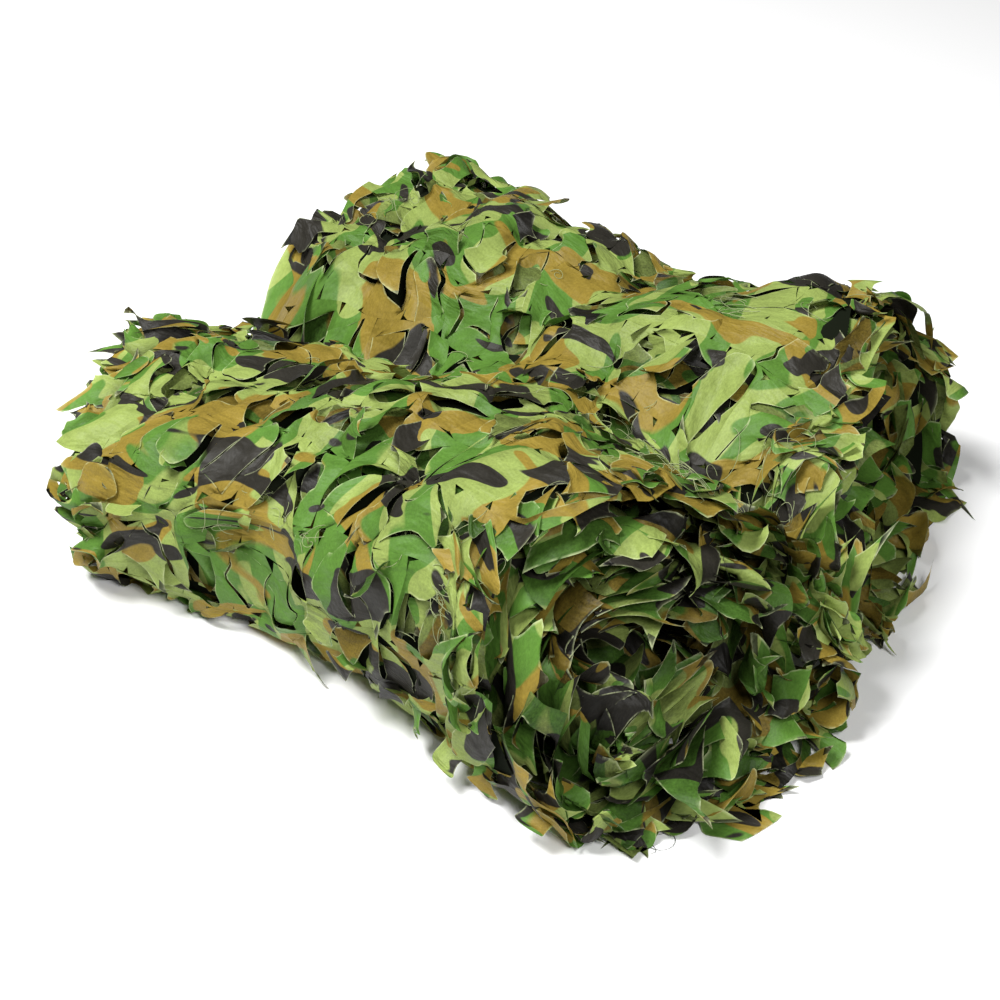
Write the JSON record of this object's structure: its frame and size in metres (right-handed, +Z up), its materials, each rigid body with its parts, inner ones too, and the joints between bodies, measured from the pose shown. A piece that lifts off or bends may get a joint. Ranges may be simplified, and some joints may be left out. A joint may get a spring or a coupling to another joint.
{
  "type": "camouflage net",
  "caption": "Woodland camouflage net of die-cut printed cloth, wound into a loose bundle of two rolls with an open mouth at one end.",
  "frame": {"origin": "middle of the bundle's bounding box, on the floor", "axes": "+X along the rolls towards the open mouth, +Y from the front roll to the back roll, +Z up"},
  "size_m": [0.5534, 0.4878, 0.1799],
  "materials": {
    "camo_cloth": "satin"
  },
  "bodies": {
    "root": {"net": "camo_cloth"}
  },
  "joints": []
}
